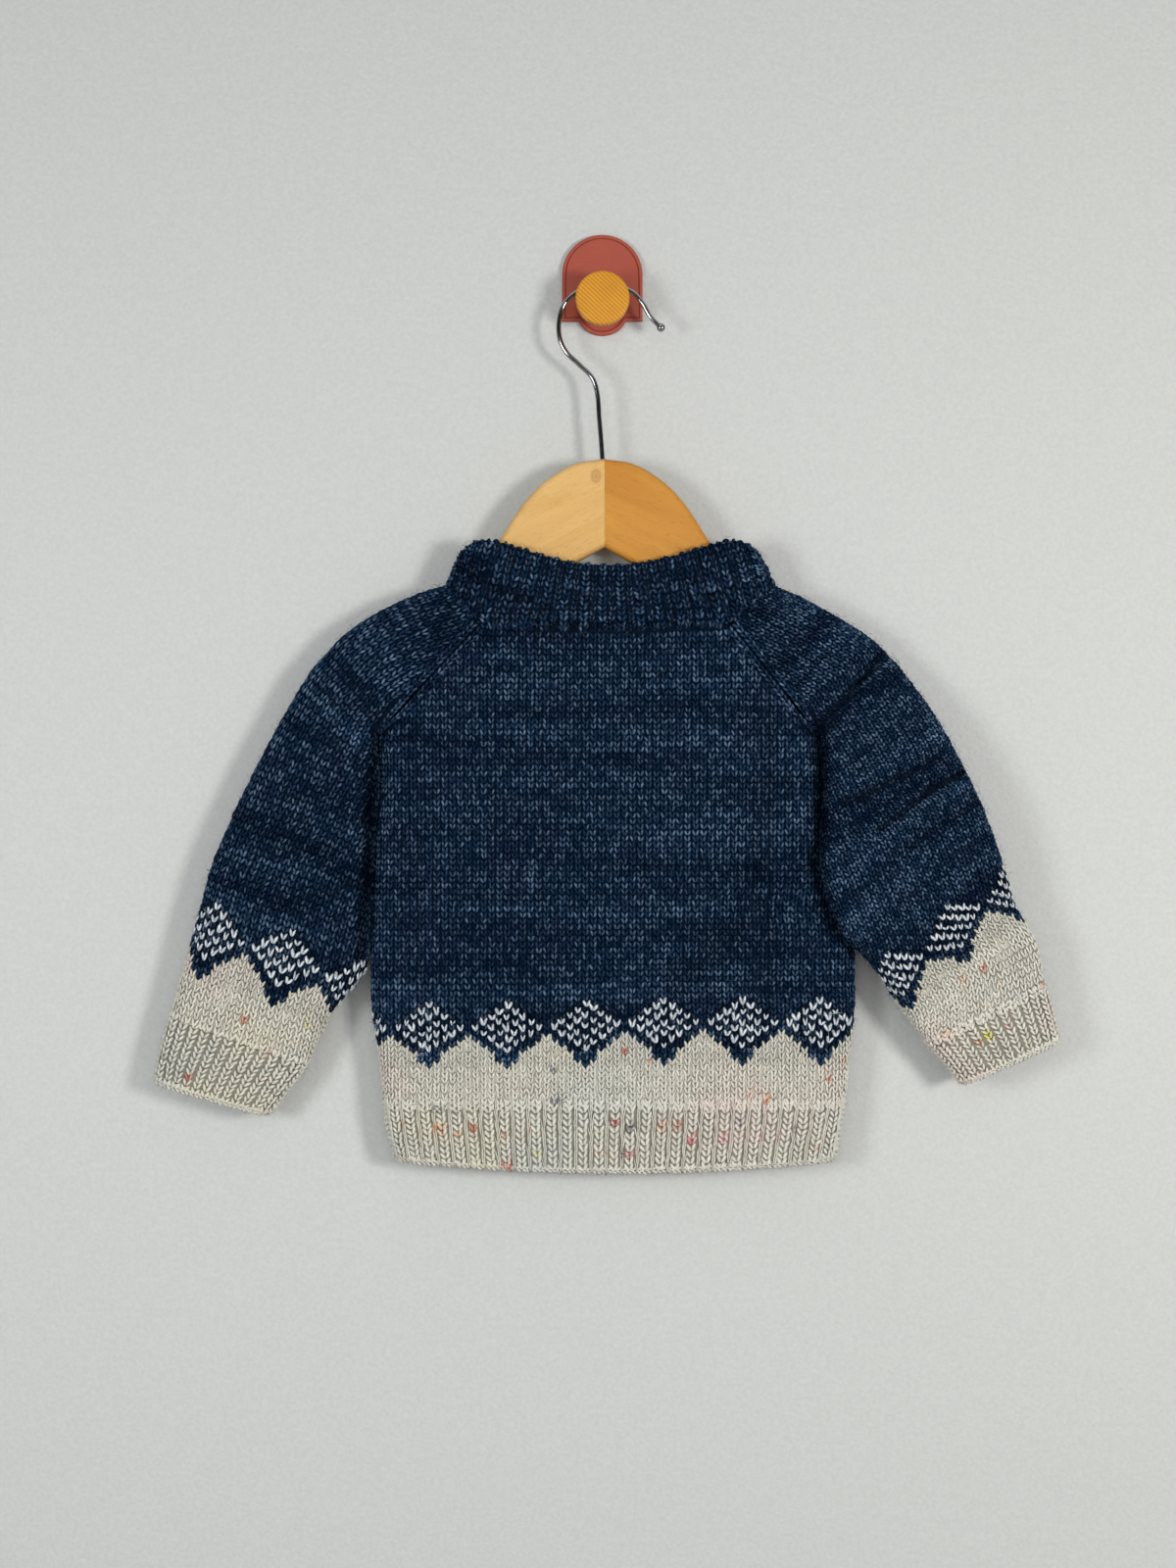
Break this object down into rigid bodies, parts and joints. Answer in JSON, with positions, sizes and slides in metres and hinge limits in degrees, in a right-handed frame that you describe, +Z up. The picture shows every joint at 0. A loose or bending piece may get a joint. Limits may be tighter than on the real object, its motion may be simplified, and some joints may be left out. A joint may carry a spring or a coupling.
{
  "type": "knit sweater on hanger and wall hook",
  "caption": "Baby's raglan knit sweater, navy above and cream below, on a child's wooden hanger that hangs from a wall hook with a round knob.",
  "frame": {"origin": "on the wall, at the axis of the wall hook's knob, where the hanger hangs", "axes": "+Y into the wall, +Z up, +X to the right of a viewer who faces the wall; the sweater's back faces -Y"},
  "size_m": [0.4815, 0.0396, 0.5013],
  "materials": {
    "navy_knit": "navy marled wool in stocking stitch, cream tweed below the pattern",
    "cream_rib": "cream tweed wool rib",
    "varnished_wood": "satin varnish",
    "chrome_wire": "bright plated wire",
    "terracotta_plate": "satin terracotta paint",
    "mustard_knob": "satin mustard paint over fine ribs"
  },
  "bodies": {
    "root": {"back": "navy_knit", "front": "navy_knit", "sleeve_left": "navy_knit", "sleeve_right": "navy_knit", "neckband": "navy_knit", "hem_rib": "cream_rib", "cuff_left": "cream_rib", "cuff_right": "cream_rib", "hanger_arm_left": "varnished_wood", "hanger_arm_right": "varnished_wood", "hanger_hook": "chrome_wire", "wall_plate": "terracotta_plate", "wall_knob": "mustard_knob"}
  },
  "joints": []
}
